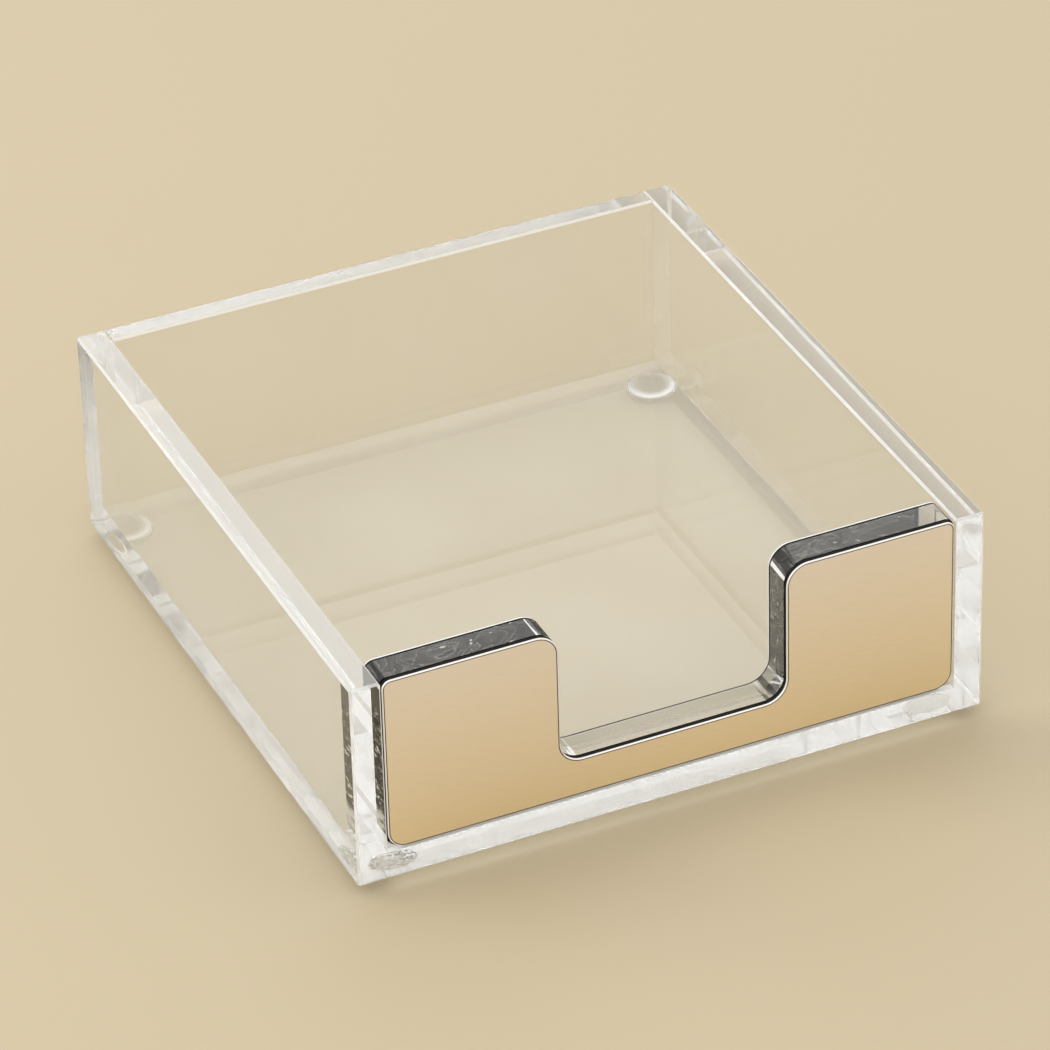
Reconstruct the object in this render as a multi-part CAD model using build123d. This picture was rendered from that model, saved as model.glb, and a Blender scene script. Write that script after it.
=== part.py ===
from build123d import *
import os

# Open-top note tray: clear sheets bonded edge to edge, with a thumb notch and a gold plate at the front.
#
# The origin is on the surface that the tray stands on, under the middle of the tray.
# +X is to the right as seen from the front, +Y runs to the back and +Z is up.

# Driving dimensions, in millimetres.

# The clear box
tray_width = 86.0  # across the outer faces of the side walls
tray_depth = 90.0  # from the front ends to the back ends of the side walls
wall_height = 29.3  # from the underside of the floor to the rim
side_wall_thickness = 4.0
back_wall_thickness = 3.0
base_thickness = 4.0
wall_chamfer = 0.3  # on the free edges of the walls and the floor

# The notched front panel
front_panel_thickness = 4.5
notch_width = 31.0
notch_sill_height = 5.7  # of the panel below the notch
notch_radius = 3.0  # at the two bottom and the two top corners of the notch
panel_top_radius = 1.2  # at the panel's outer top corners
panel_bottom_radius = 2.5  # at the panel's outer bottom corners
panel_chamfer = 0.2  # on the edges of the panel's back face

# The gold plate and the adhesive film behind it
face_plate_thickness = 0.7
face_plate_chamfer = 0.15  # on the edges of the plate's front face
face_plate_side_gap = 0.2  # from the plate's ends to the side walls
face_plate_base_gap = 0.3  # from the plate's bottom edge to the floor
face_film_thickness = 0.15
face_film_margin = 0.5  # from the plate's outline in to the film's outline

# The bumpers and their adhesive discs
foot_diameter = 7.0
foot_height = 1.3
foot_rounding = 0.9  # at the foot's lower edge
foot_inset = 6.0  # from the tray's outer faces to a foot's axis
foot_film_diameter = 6.4
foot_film_thickness = 0.2

# Places that follow from them.

base_underside_z = foot_height + foot_film_thickness
base_top_z = base_underside_z + base_thickness
rim_z = base_underside_z + wall_height
side_inner_x = tray_width / 2 - side_wall_thickness
front_y = -tray_depth / 2
back_y = tray_depth / 2
face_film_y = front_y + face_plate_thickness
panel_front_y = face_film_y + face_film_thickness
foot_x = tray_width / 2 - foot_inset
foot_y = tray_depth / 2 - foot_inset


def block(low, high):
    """A box between two opposite corners."""
    size = [b - a for a, b in zip(low, high)]
    return Pos(*low) * Box(*size, align=(Align.MIN, Align.MIN, Align.MIN))


def base_plate():
    """The floor, between the side walls, with its front and back bottom edges chamfered."""
    plate = block((-side_inner_x, front_y, base_underside_z), (side_inner_x, back_y, base_top_z))
    bottom = plate.faces().sort_by(Axis.Z)[0]
    free_edges = bottom.edges().filter_by(Axis.X)
    return chamfer(free_edges, wall_chamfer)


def side_wall(side):
    """One side wall: side is -1 for the left wall and +1 for the right one.

    The edges bonded to the floor, the back wall and the front panel stay sharp.
    """
    inner = side * side_inner_x
    outer = side * tray_width / 2
    wall = block((min(inner, outer), front_y, base_underside_z), (max(inner, outer), back_y, rim_z))
    by_x = wall.faces().sort_by(Axis.X)
    outer_face, inner_face = (by_x[0], by_x[-1]) if side < 0 else (by_x[-1], by_x[0])
    inner_top_edge = inner_face.edges().filter_by(Axis.Y).sort_by(Axis.Z)[-1]
    end_edges = wall.edges().filter_by(Axis.X)
    return chamfer(outer_face.edges() + end_edges + [inner_top_edge], wall_chamfer)


def back_wall():
    """The back wall, on the floor and between the side walls, with both top edges chamfered."""
    wall = block((-side_inner_x, back_y - back_wall_thickness, base_top_z), (side_inner_x, back_y, rim_z))
    top = wall.faces().sort_by(Axis.Z)[-1]
    return chamfer(top.edges().filter_by(Axis.X), wall_chamfer)


def notched_outline(side_gap=0.0, base_gap=0.0):
    """The front's outline as a face, drawn in X and Z as its own X and Y.

    It is an upright U, as wide as the room between the side walls less a gap at each end.
    """
    half_width = side_inner_x - side_gap
    half_notch = notch_width / 2
    low = base_top_z + base_gap
    sill = base_top_z + notch_sill_height
    corners = [
        (-half_width, low),
        (half_width, low),
        (half_width, rim_z),
        (half_notch, rim_z),
        (half_notch, sill),
        (-half_notch, sill),
        (-half_notch, rim_z),
        (-half_width, rim_z),
    ]
    outline = make_face(Polyline(*corners, close=True))

    def corners_near(x, z):
        return [v for v in outline.vertices() if abs(abs(v.X) - x) < 1e-6 and abs(v.Y - z) < 1e-6]

    for x, z, radius in (
        (half_width, low, panel_bottom_radius),
        (half_width, rim_z, panel_top_radius),
        (half_notch, rim_z, notch_radius),
        (half_notch, sill, notch_radius),
    ):
        outline = fillet(corners_near(x, z), radius)
    return outline


def upright(outline, y_front, thickness):
    """The outline stood upright and made solid, from y_front back through its thickness."""
    back_plane = Plane.XZ.offset(-(y_front + thickness))
    return extrude(back_plane * outline, amount=thickness)


def front_panel():
    """The clear notched panel, on the floor and between the side walls."""
    panel = upright(notched_outline(), panel_front_y, front_panel_thickness)
    back_face = panel.faces().sort_by(Axis.Y)[-1]
    return chamfer(back_face.edges(), panel_chamfer)


def face_plate():
    """The gold plate, flush with the front ends of the side walls."""
    outline = notched_outline(face_plate_side_gap, face_plate_base_gap)
    plate = upright(outline, front_y, face_plate_thickness)
    front_face = plate.faces().sort_by(Axis.Y)[0]
    return chamfer(front_face.edges(), face_plate_chamfer)


def face_film():
    """The adhesive film that fills the room between the gold plate and the clear panel."""
    outline = notched_outline(face_plate_side_gap, face_plate_base_gap)
    return upright(offset(outline, amount=-face_film_margin), face_film_y, face_film_thickness)


def foot(x, y):
    """A round bumper with a rounded lower edge, standing on the ground plane."""
    puck = Cylinder(foot_diameter / 2, foot_height, align=(Align.CENTER, Align.CENTER, Align.MIN))
    lower_edge = puck.edges().filter_by(GeomType.CIRCLE).sort_by(Axis.Z)[0]
    return Pos(x, y, 0) * fillet([lower_edge], foot_rounding)


def foot_film(x, y):
    """The adhesive disc between a bumper and the underside of the floor."""
    disc = Cylinder(foot_film_diameter / 2, foot_film_thickness, align=(Align.CENTER, Align.CENTER, Align.MIN))
    return Pos(x, y, foot_height) * disc


def all_pieces():
    """Every separate piece of the tray, by its name."""
    pieces = {
        "base_plate": base_plate(),
        "left_wall": side_wall(-1),
        "right_wall": side_wall(1),
        "back_wall": back_wall(),
        "front_panel": front_panel(),
        "face_film": face_film(),
        "face_plate": face_plate(),
    }
    for row, y in (("front", -foot_y), ("back", foot_y)):
        for side, x in (("left", -foot_x), ("right", foot_x)):
            pieces[f"foot_{row}_{side}"] = foot(x, y)
            pieces[f"foot_film_{row}_{side}"] = foot_film(x, y)
    return pieces


os.makedirs("parts", exist_ok=True)
for name, piece in all_pieces().items():
    export_step(piece, f"parts/{name}.step")
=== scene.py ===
"""Looks for the clear note tray: polished acrylic, a satin gold plate on dark film, soft clear bumpers."""

import math

import bpy
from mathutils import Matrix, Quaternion, Vector


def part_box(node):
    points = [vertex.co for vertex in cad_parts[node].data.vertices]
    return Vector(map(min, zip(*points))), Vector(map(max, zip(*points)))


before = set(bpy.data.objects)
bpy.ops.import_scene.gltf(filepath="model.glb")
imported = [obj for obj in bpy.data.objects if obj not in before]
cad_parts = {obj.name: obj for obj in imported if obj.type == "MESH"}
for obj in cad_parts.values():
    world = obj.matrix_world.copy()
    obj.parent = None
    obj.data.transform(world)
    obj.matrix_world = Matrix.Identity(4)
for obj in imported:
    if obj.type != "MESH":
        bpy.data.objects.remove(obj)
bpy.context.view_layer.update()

MM = 0.001

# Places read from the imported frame, in metres.

base_low, base_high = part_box("base_plate")
right_low, right_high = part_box("right_wall")
back_low, back_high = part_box("back_wall")
panel_low, panel_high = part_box("front_panel")
film_low, film_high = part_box("face_film")
plate_low, plate_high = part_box("face_plate")
foot_low, foot_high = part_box("foot_back_right")
foot_film_low, foot_film_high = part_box("foot_film_back_right")

side_inner_x = right_low.x
foot_x = (foot_low.x + foot_high.x) / 2
foot_y = (foot_low.y + foot_high.y) / 2
foot_film_radius = (foot_film_high.x - foot_film_low.x) / 2

# The notch, the roundings and the bevels, which no box in the frame gives.

notch_half_width = 15.5 * MM
notch_sill_z = base_high.z + 5.7 * MM
notch_radius = 3.0 * MM
notch_to_film = 0.7 * MM  # from the notch's edge to where the film is stuck flat
panel_bottom_radius = 2.5 * MM
panel_top_radius = 1.2 * MM
panel_chamfer = 0.2 * MM
plate_bevel = 0.15 * MM

NEAR = 0.02 * MM  # how near a point has to be to a face to lie on it

ORIGIN = (0.0, 0.0, 0.0)
EVEN = (1.0, 1.0, 1.0)
ACROSS = (1.0, 0.0, 0.0)
BACKWARDS = (0.0, 1.0, 0.0)
UPWARDS = (0.0, 0.0, 1.0)

# Cosines between a surface's normal and an axis.

FACE_COSINE = 0.9  # more than this on a flat face, less on a bevel
EDGE_COSINE = 0.3  # with the sheet's axis: less than this on a square cut edge, more on its bevel
CORNER_COSINE = 0.985  # with the nearest axis: less than this on a rounded corner
LEVEL_COSINE = 0.5  # with the Z axis: more than this on a level edge

MATT_BLACKS = (0.006, 0.006, 0.006), (0.016, 0.015, 0.014)


# Node helpers.


class Nodes:
    """A node tree, with short ways to add the nodes used here.

    Marks and shares run from 0 to 1. The product of some of them is 1 where all of them are,
    and the most of them is 1 where any of them is.
    """

    def __init__(self, tree):
        self.tree = tree

    def node(self, kind, **settings):
        made = self.tree.nodes.new(kind)
        for key, value in settings.items():
            setattr(made, key, value)
        return made

    def feed(self, socket, value):
        """Links an output to a socket, or sets the socket's own value."""
        if isinstance(value, bpy.types.NodeSocket):
            self.tree.links.new(value, socket)
        elif socket.type == "RGBA":
            socket.default_value = (*value, 1.0)
        else:
            socket.default_value = value

    def maths(self, operation, a, b=0.0):
        made = self.node("ShaderNodeMath", operation=operation)
        self.feed(made.inputs[0], a)
        self.feed(made.inputs[1], b)
        return made.outputs[0]

    def plus(self, a, b):
        return self.maths("ADD", a, b)

    def minus(self, a, b):
        return self.maths("SUBTRACT", a, b)

    def times(self, first, *others):
        for value in others:
            first = self.maths("MULTIPLY", first, value)
        return first

    def most(self, first, *others):
        for value in others:
            first = self.maths("MAXIMUM", first, value)
        return first

    def below(self, value, limit):
        """1 where a value is less than a limit."""
        return self.maths("LESS_THAN", value, limit)

    def above(self, value, limit):
        """1 where a value is more than a limit."""
        return self.maths("GREATER_THAN", value, limit)

    def opposite(self, share):
        """What a share leaves of 1."""
        return self.minus(1.0, share)

    def hypotenuse(self, a, b):
        squares = self.plus(self.maths("POWER", a, 2.0), self.maths("POWER", b, 2.0))
        return self.maths("SQRT", squares)

    def vector(self, operation, a, b=ORIGIN):
        made = self.node("ShaderNodeVectorMath", operation=operation)
        self.feed(made.inputs[0], a)
        self.feed(made.inputs[1], b)
        return made.outputs["Value" if operation in ("DOT_PRODUCT", "LENGTH") else "Vector"]

    def parts(self, vector):
        """A vector's X, Y and Z."""
        made = self.node("ShaderNodeSeparateXYZ")
        self.feed(made.inputs[0], vector)
        return made.outputs

    def spread(self, value, limits, to=(0.0, 1.0), smooth=True):
        """Maps the stretch between two limits to another one, and holds its ends beyond them."""
        made = self.node("ShaderNodeMapRange", interpolation_type="SMOOTHSTEP" if smooth else "LINEAR")
        for socket, number in zip(made.inputs, (value, *limits, *to)):
            self.feed(socket, number)
        return made.outputs["Result"]

    def ray_depth(self):
        """How many bounces lie behind a ray."""
        return self.node("ShaderNodeLightPath").outputs["Ray Depth"]


class Shader(Nodes):
    """A material, which can follow a point's place and its normal."""

    def __init__(self, name):
        self.material = bpy.data.materials.new(name)
        self.material.use_nodes = True
        super().__init__(self.material.node_tree)
        self.tree.nodes.clear()
        coordinates = self.node("ShaderNodeTexCoord").outputs
        self.place = coordinates["Object"]
        self.normal = coordinates["Normal"]
        self.x, self.y, self.z = self.parts(self.place)

    def noise(self, scale, detail=2.0, roughness=0.5, stretch=EVEN, distortion=0.0, offset=ORIGIN):
        """Noise whose features are about 1 / scale metres across, longer where stretch is small."""
        made = self.node("ShaderNodeTexNoise")
        moved = self.vector("ADD", self.place, offset)
        self.feed(made.inputs["Vector"], self.vector("MULTIPLY", moved, stretch))
        self.feed(made.inputs["Scale"], scale)
        self.feed(made.inputs["Detail"], detail)
        self.feed(made.inputs["Roughness"], roughness)
        self.feed(made.inputs["Distortion"], distortion)
        return made.outputs["Fac"]

    def blend(self, share, a, b):
        """A colour between a and b."""
        made = self.node("ShaderNodeMix", data_type="RGBA")
        self.feed(made.inputs["Factor"], share)
        self.feed(made.inputs[6], a)
        self.feed(made.inputs[7], b)
        return made.outputs[2]

    def bump(self, height, distance):
        """A normal from a height of 0..1 that stands for distance metres."""
        made = self.node("ShaderNodeBump")
        self.feed(made.inputs["Strength"], 1.0)
        self.feed(made.inputs["Distance"], distance)
        self.feed(made.inputs["Height"], height)
        return made.outputs["Normal"]

    def principled(self, **values):
        made = self.node("ShaderNodeBsdfPrincipled")
        for key, value in values.items():
            self.feed(made.inputs[key.replace("_", " ")], value)
        return made.outputs["BSDF"]

    def transparent(self, colour):
        made = self.node("ShaderNodeBsdfTransparent")
        self.feed(made.inputs["Color"], colour)
        return made.outputs["BSDF"]

    def mix(self, share, a, b):
        """A surface between a and b."""
        made = self.node("ShaderNodeMixShader")
        self.feed(made.inputs[0], share)
        self.feed(made.inputs[1], a)
        self.feed(made.inputs[2], b)
        return made.outputs[0]

    def matt_black(self):
        """Black adhesive or dyed core, which shines hardly at all."""
        colour = self.blend(self.noise(scale=700.0), *MATT_BLACKS)
        return self.principled(Base_Color=colour, Roughness=0.7, Specular_IOR_Level=0.08)

    def lamp_share(self):
        """1 for the rays that carry light past clear sheet, which keeps its shadow pale."""
        path = self.node("ShaderNodeLightPath").outputs
        return self.most(path["Is Shadow Ray"], path["Is Diffuse Ray"])

    def cosine_to(self, axis):
        """The cosine between the normal and an axis, whichever way round."""
        return self.maths("ABSOLUTE", self.vector("DOT_PRODUCT", self.normal, axis))

    def inside(self, low, high):
        """1 where the surface lies inside a box, which may be a flat one."""
        low, high = Vector(low), Vector(high)
        centre, half = (low + high) / 2, (high - low) / 2
        offset = self.vector("ABSOLUTE", self.vector("SUBTRACT", self.place, centre))
        past_x, past_y, past_z = self.parts(self.vector("SUBTRACT", offset, half))
        return self.below(self.most(past_x, past_y, past_z), NEAR)

    def foot_distance(self):
        """How far a point is from the axis of the nearest foot."""
        folded = self.vector("ABSOLUTE", self.place)
        across, along, _ = self.parts(self.vector("SUBTRACT", folded, (foot_x, foot_y, 0.0)))
        return self.hypotenuse(across, along)

    def finish(self, surface):
        output = self.node("ShaderNodeOutputMaterial")
        self.feed(output.inputs["Surface"], surface)
        return self.material


def paint(node, material):
    """Gives a CAD node its material."""
    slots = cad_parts[node].data.materials
    slots.clear()
    slots.append(material)


# Clear acrylic sheet.

ACRYLIC_IOR = 1.49
ACRYLIC_TINTS = (0.975, 0.985, 0.98), (0.995, 0.998, 0.996)
SCRAPED_TINTS = (0.93, 0.93, 0.92), (1.0, 1.0, 0.99)
WAVE_HEIGHT = 0.008 * MM
RIPPLE_SHARE = 0.04  # of the cut edges' waves
FACE_WAVE_SHARE = 0.5
EDGE_ROUGHNESS = 0.02  # what a cut edge adds, but not the panel's
BEVEL_DULLNESS = 0.55
STRIP_DULLNESS = 0.8
# Dust on the level cut edges, with a painted reflection of the window added at the left.
DUST_AND_SHEEN = (0.19, 0.02)  # on the level cut edges, at the left and at the right
SMEAR_ROUGHNESS = (0.0, 0.02)
HAZE = (0.02, 0.045)
FULLY_CLEAR = (1.0, 1.0, 1.0)
PASSED_BY_FACES = (0.98, 0.985, 0.98)
PASSED_BY_EDGES = (0.5, 0.48, 0.44)

# The dark seam at the panel's left end, with the heights over which its crumbs and its pale foot end.

SEAM_SHARE = 0.96
SEAM_COLOUR = (0.075, 0.066, 0.048)
PIT_COLOUR = (0.01, 0.009, 0.008)
CRUMB_COLOUR = (0.6, 0.58, 0.52)
SEAM_FOOT_COLOUR = (0.55, 0.53, 0.48)
PLATE_END_COLOUR = (0.01, 0.01, 0.01)
crumbs_end = (base_high.z + 19.0 * MM, base_high.z + 21.0 * MM)
seam_foot_end = (base_high.z + 4.5 * MM, base_high.z + 6.0 * MM)


class ClearSheet(Shader):
    """The material of one clear sheet, whose faces are square to an axis."""

    def __init__(self, node, axis):
        super().__init__(f"clear_{node}")
        self.facing = self.cosine_to(axis)
        self.cut_edge = self.below(self.facing, FACE_COSINE)
        across, along, self.upright = self.parts(self.vector("ABSOLUTE", self.normal))
        self.squareness = self.most(across, along, self.upright)

    def polished(self, edge_roughness=0.0):
        """Clear acrylic with fine marks of cleaning.

        Its cut edges wave a little, and its cast faces hardly do.
        """
        ripple = self.times(self.noise(scale=600.0, detail=1.0, offset=(0.11, 0.07, 0.03)), RIPPLE_SHARE)
        edge_waves = self.times(self.cut_edge, self.plus(self.noise(scale=120.0, detail=0.5), ripple))
        face_waves = self.times(self.noise(scale=35.0, detail=0.5), FACE_WAVE_SHARE)
        marks = self.noise(scale=60.0, detail=4.0, stretch=(1.0, 0.35, 0.8))
        smears = self.spread(marks, (0.45, 0.75), to=SMEAR_ROUGHNESS)
        return self.principled(
            Base_Color=self.blend(self.noise(scale=45.0), *ACRYLIC_TINTS),
            Roughness=self.plus(smears, self.times(self.cut_edge, edge_roughness)),
            IOR=ACRYLIC_IOR,
            Transmission_Weight=1.0,
            Normal=self.bump(self.plus(edge_waves, face_waves), WAVE_HEIGHT),
        )

    def scraped(self):
        """Acrylic that was scraped and not polished, so that it scatters light."""
        return self.principled(
            Base_Color=self.blend(self.noise(scale=400.0, detail=3.0), *SCRAPED_TINTS),
            Roughness=0.5,
            IOR=ACRYLIC_IOR,
        )

    def haze(self):
        """How milky fine dust and marks make every face."""
        clouds = self.noise(scale=50.0, detail=4.0, offset=(0.3, 0.2, 0.1))
        return self.spread(clouds, (0.3, 0.7), to=HAZE)

    def dust(self):
        """How milky dust makes the level cut edges, with more at the left as a painted reflection of the
        window.
        """
        level_edge = self.times(self.cut_edge, self.above(self.upright, LEVEL_COSINE))
        return self.times(level_edge, self.spread(self.x, (-side_inner_x, side_inner_x / 2), to=DUST_AND_SHEEN))

    def on_foot_film(self):
        """1 where a bumper's adhesive is stuck to the underside of the tray."""
        from_underside = self.maths("ABSOLUTE", self.minus(self.z, base_low.z))
        within_disc = self.below(self.foot_distance(), foot_film_radius)
        return self.times(self.below(from_underside, NEAR), within_disc)

    def bonded(self, glass, contacts):
        """The sheet with its bonded faces gone and with lamp light let through.

        contacts are boxes that hold the bonded faces. Nothing bends or shines there, because
        the bonds leave no air between the pieces. Less light gets past the cut edges, which
        throw it aside.
        """
        passed = self.blend(self.cut_edge, PASSED_BY_FACES, PASSED_BY_EDGES)
        lit_through = self.mix(self.lamp_share(), glass, self.transparent(passed))
        bonds = [self.inside(low, high) for low, high in contacts]
        bond = self.most(self.on_foot_film(), *bonds)
        return self.mix(bond, lit_through, self.transparent(FULLY_CLEAR))

    def seam(self):
        """The dark seam at the panel's left end, and the plate's black end in front of it.

        The seam is smooth near the rim, crumbly further down and pale at its foot.
        """
        crumbs = self.noise(scale=1000.0, detail=3.0, roughness=0.7, stretch=(1.0, 0.3, 1.0))
        crumbly = self.spread(self.z, crumbs_end, to=(1.0, 0.0))
        pits = self.times(self.spread(crumbs, (0.45, 0.52), to=(1.0, 0.0)), crumbly)
        specks = self.times(self.spread(crumbs, (0.56, 0.63)), crumbly)
        low_down = self.spread(self.z, seam_foot_end, to=(1.0, 0.0))
        foot = self.times(low_down, self.spread(crumbs, (0.4, 0.5)))
        colour = self.blend(pits, SEAM_COLOUR, PIT_COLOUR)
        colour = self.blend(specks, colour, CRUMB_COLOUR)
        colour = self.blend(foot, colour, SEAM_FOOT_COLOUR)
        colour = self.blend(self.below(self.y, panel_low.y), colour, PLATE_END_COLOUR)
        return self.principled(Base_Color=colour, Roughness=0.8, Specular_IOR_Level=0.0)

    def with_seam(self, surface):
        """A surface with the left seam laid on it, out of the way of lamp light."""
        share = self.times(self.inside(*left_seam()), self.opposite(self.lamp_share()), SEAM_SHARE)
        return self.mix(share, surface, self.seam())


def contact_boxes():
    """The faces bonded between sheets as flat boxes, each with the nodes that meet there."""
    top = base_high.z
    panel_y = (panel_low.y, panel_high.y - panel_chamfer)
    panel_z = (top + panel_bottom_radius, panel_high.z - panel_top_radius)
    panel_x = side_inner_x - panel_bottom_radius
    boxes = [
        (("base_plate", "back_wall"), (-side_inner_x, back_low.y, top), (side_inner_x, back_high.y, top)),
        (("base_plate", "front_panel"), (-panel_x, panel_y[0], top), (panel_x, panel_y[1], top)),
    ]
    for wall, x in (("left_wall", -side_inner_x), ("right_wall", side_inner_x)):
        for node, y, z in (
            ("base_plate", (base_low.y, base_high.y), (base_low.z, top)),
            ("back_wall", (back_low.y, back_high.y), (back_low.z, back_high.z)),
            ("front_panel", panel_y, panel_z),
        ):
            boxes.append(((wall, node), (x, y[0], z[0]), (x, y[1], z[1])))
    return boxes


def contacts_of(node):
    """The boxes that hold one sheet's bonded faces."""
    return [(low, high) for nodes, low, high in contact_boxes() if node in nodes]


def film_contacts():
    """The parts of the clear panel's front face that the film is stuck to."""
    y = panel_low.y
    low, high = film_low, film_high
    notch_x = notch_half_width + notch_to_film
    sill = notch_sill_z - notch_to_film
    return [
        ((low.x, y, low.z), (-notch_x, y, high.z)),
        ((-notch_x, y, low.z), (notch_x, y, sill)),
        ((notch_x, y, low.z), (high.x, y, high.z)),
    ]


def left_seam():
    """The seam that shows through the left wall, at the ends of the panel and the plate."""
    low_z = base_high.z + panel_bottom_radius
    high_z = panel_high.z - panel_top_radius
    return (-side_inner_x, plate_low.y, low_z), (-side_inner_x, panel_high.y, high_z)


def inner_arris(side):
    """The scraped inner edge of a side wall's front end, above the floor sheet."""
    width = 0.12 * MM
    near, far = sorted((side * side_inner_x, side * (side_inner_x + width)))
    return (near, base_low.y, base_high.z), (far, base_low.y, right_high.z)


def front_ledge():
    """The strip of the floor sheet's top in front of the panel, dulled by the glue."""
    return (-side_inner_x, base_low.y, base_high.z), (side_inner_x, panel_low.y, base_high.z)


def plain_sheet(node, axis, dull_strip=None, seam=False):
    """A wall or the floor sheet, whose narrow bevels show as pale lines."""
    s = ClearSheet(node, axis)
    bevel = s.below(s.squareness, FACE_COSINE)
    share = s.most(s.plus(s.haze(), s.dust()), s.times(bevel, BEVEL_DULLNESS))
    if dull_strip:
        share = s.most(share, s.times(s.inside(*dull_strip), STRIP_DULLNESS))
    glass = s.mix(share, s.polished(EDGE_ROUGHNESS), s.scraped())
    surface = s.bonded(glass, contacts_of(node))
    return s.finish(s.with_seam(surface) if seam else surface)


# The clear panel's cut edge.

# The width and share of the painted highlight line along the back of the cut edge.
HIGHLIGHT_LINE_WIDTH = 0.18 * MM
DARK_LINE = (0.2 * MM, 0.5 * MM)  # on the sill and above it
ABOVE_SILL = (1.0 * MM, 4.0 * MM)  # the rise over which the sill's marks change to the sides' ones
# The painted shade band on the sill: where it ends, how strong it is and its colour.
SILL_SHADE_END = (2.2 * MM, 2.3 * MM)  # from the back
HIGHLIGHT_LINE_SHARE = 0.85
DARK_LINE_SHARE = 0.95
SILL_SHADE_SHARE = 0.7
SILL_SHADE_COLOUR = (0.38, 0.36, 0.28)
# How strong the painted glints on the rounded corners are.
GLINT_SHARES = (0.0, 0.8)
DARK_MARKS = (0.7, 0.0)


class NotchedPanel(ClearSheet):
    """The material of the clear panel. Its edge has a painted highlight line, painted glints and a painted
    shade band, dark lines and marks, and dark adhesive round the film.
    """

    def __init__(self):
        super().__init__("front_panel", BACKWARDS)
        self.square_cut = self.below(self.facing, EDGE_COSINE)
        self.above_sill = self.spread(self.z, [notch_sill_z + rise for rise in ABOVE_SILL])
        self.from_back = self.minus(panel_high.y - panel_chamfer, self.y)

    def highlight_and_dark_lines(self):
        """The painted highlight line along the back of the cut edge and the dark line beside it."""
        highlight_width = self.times(self.above_sill, HIGHLIGHT_LINE_WIDTH)
        dark_width = self.spread(self.above_sill, (0.0, 1.0), to=DARK_LINE)
        pale = self.times(self.square_cut, self.below(self.from_back, highlight_width))
        dark = self.times(self.square_cut, self.below(self.from_back, dark_width))
        return pale, dark

    def corner_glints_and_marks(self):
        """Painted glints and dark marks across the rounded corners, except next to the right wall."""
        turned = self.below(self.squareness, CORNER_COSINE)
        off_right_wall = self.below(self.x, side_inner_x - panel_top_radius)
        corners = self.times(self.square_cut, turned, off_right_wall)
        marks = self.noise(scale=650.0, detail=2.0, stretch=(1.0, 0.08, 1.0))
        bright = self.times(corners, self.spread(marks, (0.5, 0.55), to=GLINT_SHARES))
        dark = self.times(corners, self.spread(marks, (0.4, 0.46), to=DARK_MARKS))
        return bright, dark

    def sill_shade(self):
        """The painted shade band along the back of the sill."""
        on_sill = self.times(self.square_cut, self.opposite(self.above_sill))
        return self.times(on_sill, self.spread(self.from_back, SILL_SHADE_END, to=(SILL_SHADE_SHARE, 0.0)))

    def marked(self):
        """The panel's surface where nothing is bonded to it. Dark adhesive shows round the film."""
        highlight_line, dark_line = self.highlight_and_dark_lines()
        glints, dark_marks = self.corner_glints_and_marks()
        bevel = self.times(self.cut_edge, self.above(self.facing, EDGE_COSINE))
        film_rim = self.below(self.y, panel_low.y + NEAR)
        dull = self.most(
            self.haze(),
            self.times(bevel, BEVEL_DULLNESS),
            self.times(highlight_line, HIGHLIGHT_LINE_SHARE),
            glints,
        )
        black = self.most(film_rim, self.times(dark_line, DARK_LINE_SHARE), dark_marks)
        # The olive-grey colour of the painted shade band on the sill.
        band = self.principled(Base_Color=SILL_SHADE_COLOUR, Roughness=0.6)
        glass = self.mix(dull, self.polished(), self.scraped())
        glass = self.mix(self.sill_shade(), glass, band)
        return self.mix(self.times(black, self.opposite(highlight_line)), glass, self.matt_black())


def front_panel():
    """The clear panel, stuck to the film and bonded to the walls and the floor sheet."""
    s = NotchedPanel()
    contacts = contacts_of("front_panel") + film_contacts()
    return s.finish(s.with_seam(s.bonded(s.marked(), contacts)))


# The gold plate and its film.

# The gold face is paler at the top and darker at the foot: painted light and shade.
GOLD_LIT_TOP = (1.0, 0.95, 0.91)
GOLD_SHADED_FOOT = (0.99, 0.84, 0.58)
GOLD_CLOUD = (0.95, 0.80, 0.60)
GOLD_GRAIN = (0.55, 0.40, 0.28)
CLOUD_SHARE = 0.2
GRAIN_SHARE = 0.035
GRAIN_HEIGHT = 0.0007 * MM
SATIN_ROUGHNESS = (0.42, 0.48)
RIM_COLOUR = (0.05, 0.035, 0.025)
RIM_SHARE = 0.95
# The bevel's pale colour is a painted highlight, on top of its own shine.
BEVEL_HIGHLIGHT_COLOUR = (0.97, 0.95, 0.91)
BEVEL_METALLIC = 0.3
BEVEL_POLISH = 0.28  # how much less rough the bevel is than the face
rim_fade = (-plate_bevel - 0.17 * MM, -plate_bevel - 0.09 * MM)  # where the dark rim starts and is full

FILM_SWIRLS = (0.012, 0.011, 0.01), (0.1, 0.096, 0.088)
FILM_LINES = (0.19, 0.184, 0.17)
FILM_SPECKS = (0.6, 0.59, 0.56)
SWIRL_STEPS = 8.0


def strip_distance(s, half_width, end_z, way, radius):
    """How far a point on the front is from an upright strip's outline, below 0 inside the strip.

    The strip starts at end_z, where its corners are rounded, and runs far up where way is 1 or
    far down where way is -1.
    """
    reach = 50 * MM
    flat = s.vector("MULTIPLY", s.place, (1.0, 0.0, 1.0))
    offset = s.vector("SUBTRACT", flat, (0.0, 0.0, end_z + way * reach))
    core = (half_width - radius, reach - radius, reach - radius)
    corner = s.vector("SUBTRACT", s.vector("ABSOLUTE", offset), core)
    across, _, up = s.parts(corner)
    outside = s.vector("LENGTH", s.vector("MAXIMUM", corner, ORIGIN))
    within = s.maths("MINIMUM", s.most(across, up), 0.0)
    return s.minus(s.plus(outside, within), radius)


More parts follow.
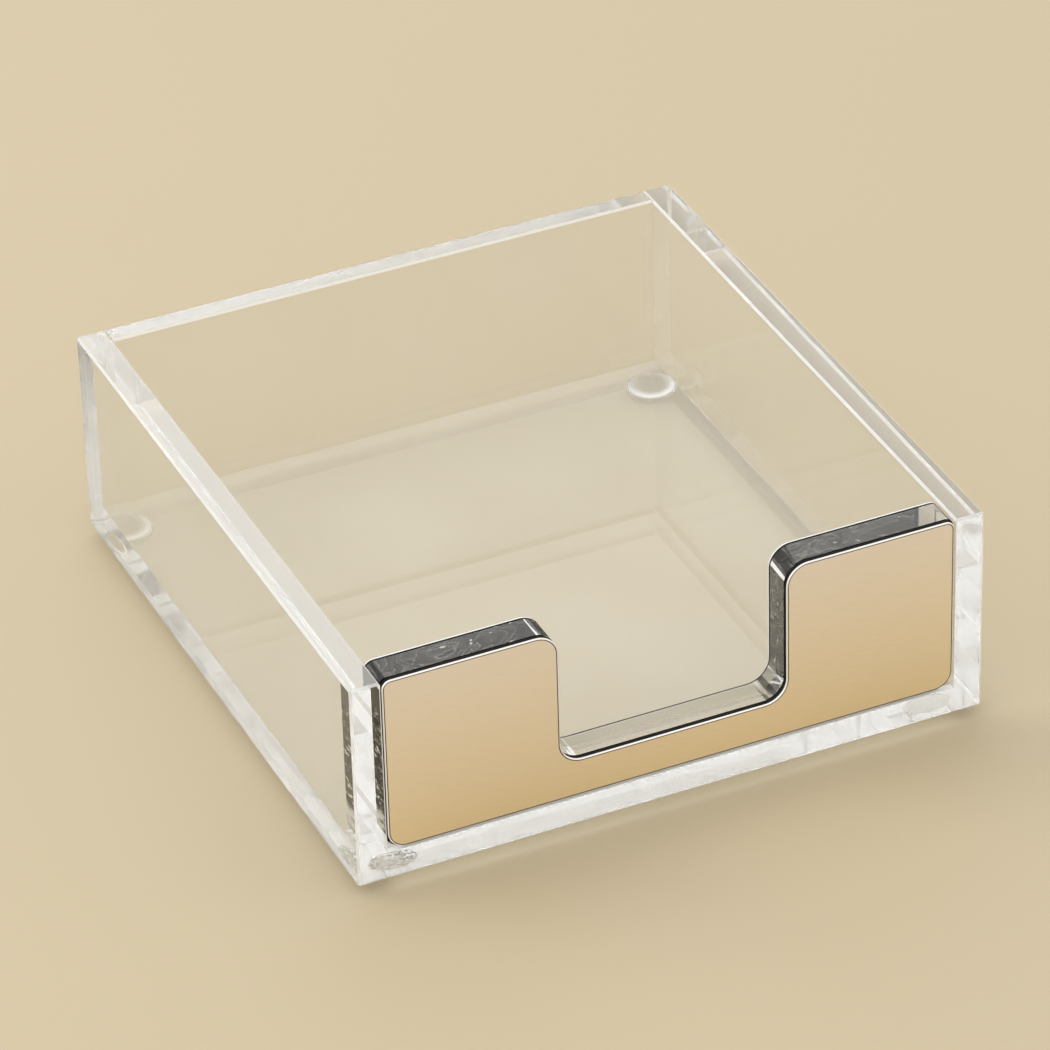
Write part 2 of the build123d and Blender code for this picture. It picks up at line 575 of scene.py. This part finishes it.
def plate_distance(s):
    """How far a point on the front is from the gold plate's outline, below 0 inside it."""
    top = strip_distance(s, plate_high.x, plate_high.z, -1, panel_top_radius)
    bottom = strip_distance(s, plate_high.x, plate_low.z, 1, panel_bottom_radius)
    notch = strip_distance(s, notch_half_width, notch_sill_z, 1, notch_radius)
    # The notch is cut out with a rounded corner where it meets the rim.
    from_outline = s.plus(s.most(top, bottom), notch_radius)
    from_notch = s.minus(notch_radius, notch)
    outside = s.hypotenuse(s.most(from_outline, 0.0), s.most(from_notch, 0.0))
    within = s.maths("MINIMUM", s.most(from_outline, from_notch), 0.0)
    return s.minus(s.plus(outside, within), notch_radius)


def gold():
    """Satin gold on the face, paler at the top and darker and warmer at the foot as painted light and
    shade, a bright bevel round it whose pale colour is a painted highlight, and a black cut edge behind
    that.
    """
    s = Shader("satin_gold")
    grain = s.noise(scale=1600.0, detail=3.0, stretch=(0.25, 1.0, 1.6))
    # Painted light and shade: paler towards the top, darker towards the foot.
    low_down = s.spread(s.z, (plate_low.z, plate_high.z), to=(1.0, 0.0), smooth=False)
    clouds = s.times(s.noise(scale=70.0, detail=3.0), CLOUD_SHARE)
    rim = s.spread(plate_distance(s), rim_fade, to=(0.0, RIM_SHARE))
    bevel = s.below(s.cosine_to(BACKWARDS), FACE_COSINE)
    colour = s.blend(low_down, GOLD_LIT_TOP, GOLD_SHADED_FOOT)
    colour = s.blend(clouds, colour, GOLD_CLOUD)
    colour = s.blend(s.spread(grain, (0.35, 0.65), to=(0.0, GRAIN_SHARE)), colour, GOLD_GRAIN)
    colour = s.blend(rim, colour, RIM_COLOUR)
    # The bevel is painted pale as a highlight.
    colour = s.blend(bevel, colour, BEVEL_HIGHLIGHT_COLOUR)
    satin = s.spread(grain, (0.3, 0.7), to=SATIN_ROUGHNESS)
    metal = s.principled(
        Base_Color=colour,
        Metallic=s.opposite(s.times(bevel, 1.0 - BEVEL_METALLIC)),
        Roughness=s.minus(satin, s.times(bevel, BEVEL_POLISH)),
        Normal=s.bump(grain, GRAIN_HEIGHT),
    )
    behind_bevel = s.above(s.y, plate_low.y + plate_bevel + NEAR)
    return s.finish(s.mix(behind_bevel, metal, s.matt_black()))


def film():
    """Dark adhesive film, with paler swirls where it hasn't wetted the sheet."""
    s = Shader("dark_film")
    drift = s.noise(scale=110.0, detail=2.0, distortion=1.2)
    step = s.maths("FRACT", s.times(drift, SWIRL_STEPS))
    specks = s.spread(s.noise(scale=900.0, detail=1.0), (0.72, 0.75))
    colour = s.blend(step, *FILM_SWIRLS)
    colour = s.blend(s.spread(step, (0.78, 0.9)), colour, FILM_LINES)
    colour = s.blend(specks, colour, FILM_SPECKS)
    return s.finish(s.principled(Base_Color=colour, Roughness=0.7, Specular_IOR_Level=0.0))


# The bumpers and their adhesive.

BUMPER_IOR = 1.42
BUMPER_TINTS = (0.95, 0.95, 0.94), (0.995, 0.995, 0.99)
BUMPER_ROUGHNESS = (0.02, 0.08)
PASSED_BY_BUMPERS = (0.9, 0.9, 0.89)
DIMPLE_HEIGHT = 0.006 * MM

ADHESIVE_GAPS = (0.98, 0.98, 0.97)
PALE_ADHESIVE = (0.92, 0.91, 0.89)
CORNER_ADHESIVE = (0.68, 0.67, 0.63)
STIPPLE_COLOUR = (0.16, 0.15, 0.135)
STIPPLE_SCALE = 3000.0
PASSED_BY_ADHESIVE = (0.97, 0.97, 0.965)
WETTED = (0.9, 0.35)  # how well it shows where it wets the sheet well and where it doesn't
FRONT_LEFT_SHARE = 0.95
FRONT_RIGHT_SHARE = 0.5
BACK_SHARE = 0.06
# The painted highlight on the back discs: how strong it is and where it lies.
BACK_CRESCENT_SHARE = 0.45
back_crescent = (foot_film_radius - 1.5 * MM, foot_film_radius - 0.2 * MM)


def bumper():
    """Soft clear rubber with faint dimples."""
    s = Shader("clear_bumper")
    cloud = s.noise(scale=500.0, detail=3.0)
    soft = s.principled(
        Base_Color=s.blend(cloud, *BUMPER_TINTS),
        Roughness=s.spread(cloud, (0.3, 0.7), to=BUMPER_ROUGHNESS),
        IOR=BUMPER_IOR,
        Transmission_Weight=1.0,
        Normal=s.bump(s.noise(scale=900.0), DIMPLE_HEIGHT),
    )
    return s.finish(s.mix(s.lamp_share(), soft, s.transparent(PASSED_BY_BUMPERS)))


def adhesive():
    """The bumper's milky adhesive, stippled with tiny pockets of air at the front left corner."""
    s = Shader("stippled_adhesive")
    dots = s.node("ShaderNodeTexVoronoi")
    s.feed(dots.inputs["Vector"], s.place)
    s.feed(dots.inputs["Scale"], STIPPLE_SCALE)
    ring = s.spread(dots.outputs["Distance"], (0.34, 0.5))
    gaps = s.spread(s.noise(scale=1500.0, detail=2.0), (0.42, 0.54))
    wetted = s.spread(s.noise(scale=260.0, detail=2.0), (0.44, 0.56), to=WETTED)

    front_left = s.times(s.below(s.x, 0.0), s.below(s.y, 0.0))
    back = s.above(s.y, 0.0)
    front_right = s.minus(s.opposite(back), front_left)

    stipple = s.times(ring, gaps, wetted, front_left)
    pale = s.blend(gaps, ADHESIVE_GAPS, s.blend(front_left, PALE_ADHESIVE, CORNER_ADHESIVE))
    sheet = s.principled(Base_Color=s.blend(stipple, pale, STIPPLE_COLOUR), Roughness=0.5)

    # The back discs are nearly clear, with a painted highlight: a pale crescent on their edge towards the
    # middle of the tray.
    disc_y = (foot_y - foot_film_radius, foot_y + foot_film_radius)
    inward = s.spread(s.maths("ABSOLUTE", s.y), disc_y, to=(1.0, 0.1))
    edge = s.spread(s.foot_distance(), back_crescent, to=(0.0, BACK_CRESCENT_SHARE))
    back_share = s.times(back, s.plus(BACK_SHARE, s.times(inward, edge)))
    front_left_share = s.times(wetted, front_left, FRONT_LEFT_SHARE)
    front_right_share = s.times(front_right, FRONT_RIGHT_SHARE)
    share = s.plus(s.plus(front_left_share, front_right_share), back_share)
    share = s.times(share, s.opposite(s.lamp_share()))
    return s.finish(s.mix(share, s.transparent(PASSED_BY_ADHESIVE), sheet))


# The stage: a plain warm floor, a soft window and a pale room.

FLOOR_SIZE = 6.0
FLOOR_COLOUR = (0.515, 0.432, 0.288)
FLOOR_SHADE = 0.97  # how dark its faint clouds are
LIT_FLOOR = (0.84, 0.83, 0.81)

WINDOW_PLACE = (-0.55, 0.35, 0.6)
WINDOW_SIZE = 0.6
WINDOW_POWER = 2.4

ROOM_COLOUR = (1.0, 0.99, 0.975)
BRIGHT_SIDE = (-0.45, 0.75, 0.48)
ROOM_TURN = (-0.6, 0.75)  # the cosines to the bright side between which the room brightens
ROOM_LIGHT = (0.95, 1.25)
DIMMED_LIGHT = 0.74

# How many bounces a ray has behind it where these changes start and where they are full.
FLOOR_PALES = (5.0, 9.0)
ROOM_DIMS = (3.0, 9.0)


def floor():
    """A plain warm floor with faint clouds, wide enough to fill the view."""
    bpy.ops.mesh.primitive_plane_add(size=FLOOR_SIZE, location=ORIGIN)
    plane = bpy.context.object
    plane.name = "floor"
    s = Shader("plain_floor")
    shaded = tuple(FLOOR_SHADE * part for part in FLOOR_COLOUR)
    colour = s.blend(s.noise(scale=8.0), FLOOR_COLOUR, shaded)
    # Light that has run a long way inside the sheets meets the bright patches that they throw
    # on the floor beside them, which these renders don't trace.
    colour = s.blend(s.spread(s.ray_depth(), FLOOR_PALES), colour, LIT_FLOOR)
    plane.data.materials.append(s.finish(s.principled(Base_Color=colour, Roughness=0.6)))


def window():
    """A soft square light that faces the tray."""
    light = bpy.data.lights.new("window", "AREA")
    light.shape = "RECTANGLE"
    light.size = WINDOW_SIZE
    light.size_y = WINDOW_SIZE
    light.energy = WINDOW_POWER
    made = bpy.data.objects.new("window", light)
    made.location = WINDOW_PLACE
    made.rotation_mode = "QUATERNION"
    made.rotation_quaternion = (-Vector(WINDOW_PLACE)).to_track_quat("-Z", "Y")
    # The window lights the floor and the plate, and the room's own pale side is what the sheets mirror.
    made.visible_glossy = False
    made.visible_transmission = False
    bpy.context.scene.collection.objects.link(made)


def room():
    """A pale room that is brightest behind the tray and to its left."""
    world = bpy.data.worlds.new("room")
    bpy.context.scene.world = world
    world.use_nodes = True
    nodes = Nodes(world.node_tree)
    outward = nodes.node("ShaderNodeTexCoord").outputs["Generated"]
    towards = nodes.vector("DOT_PRODUCT", outward, Vector(BRIGHT_SIDE).normalized())
    level = nodes.spread(towards, ROOM_TURN, to=ROOM_LIGHT)
    # Clear sheet dims what has run a long way inside it.
    kept = nodes.spread(nodes.ray_depth(), ROOM_DIMS, to=(1.0, DIMMED_LIGHT), smooth=False)
    background = world.node_tree.nodes["Background"]
    nodes.feed(background.inputs["Color"], ROOM_COLOUR)
    nodes.feed(background.inputs["Strength"], nodes.times(level, kept))


# The camera, at the photograph's viewing angle.

CAMERA_PLACE = (-269.447 * MM, -613.323 * MM, 461.192 * MM)
CAMERA_AZIMUTH = 23.749  # degrees to the right of +Y
CAMERA_DROP = 33.662  # degrees below the horizon
CAMERA_ROLL = -1.719  # degrees
CAMERA_LENS = 214.32  # millimetres
CAMERA_SENSOR = 36.0  # millimetres across


def camera():
    """The camera, turned by azimuth and drop from a view along +Y, then rolled about its own axis."""
    data = bpy.data.cameras.new("camera")
    data.lens = CAMERA_LENS
    data.sensor_width = CAMERA_SENSOR
    made = bpy.data.objects.new("camera", data)
    made.location = CAMERA_PLACE
    azimuth = math.radians(CAMERA_AZIMUTH)
    drop = math.radians(CAMERA_DROP)
    look = Vector((
        math.sin(azimuth) * math.cos(drop),
        math.cos(azimuth) * math.cos(drop),
        -math.sin(drop),
    ))
    made.rotation_mode = "QUATERNION"
    roll = Quaternion(UPWARDS, math.radians(CAMERA_ROLL))
    made.rotation_quaternion = look.to_track_quat("-Z", "Y") @ roll
    bpy.context.scene.collection.objects.link(made)
    bpy.context.scene.camera = made


SHEET_BOUNCES = 48
CLEAR_BOUNCES = 64
DIFFUSE_BOUNCES = 4


def light_paths():
    """Enough bounces for light that runs along inside the sheets."""
    cycles = bpy.context.scene.cycles
    cycles.max_bounces = SHEET_BOUNCES
    cycles.glossy_bounces = SHEET_BOUNCES
    cycles.transmission_bounces = SHEET_BOUNCES
    cycles.transparent_max_bounces = CLEAR_BOUNCES
    cycles.diffuse_bounces = DIFFUSE_BOUNCES


camera()
paint("base_plate", plain_sheet("base_plate", UPWARDS, front_ledge()))
paint("left_wall", plain_sheet("left_wall", ACROSS, inner_arris(-1), seam=True))
paint("right_wall", plain_sheet("right_wall", ACROSS, inner_arris(1)))
paint("back_wall", plain_sheet("back_wall", BACKWARDS))
paint("front_panel", front_panel())
paint("face_plate", gold())
paint("face_film", film())
foot_material = bumper()
film_material = adhesive()
for row in ("front", "back"):
    for side in ("left", "right"):
        paint(f"foot_{row}_{side}", foot_material)
        paint(f"foot_film_{row}_{side}", film_material)
floor()
room()
window()
light_paths()

bpy.context.scene.view_settings.view_transform = "Standard"
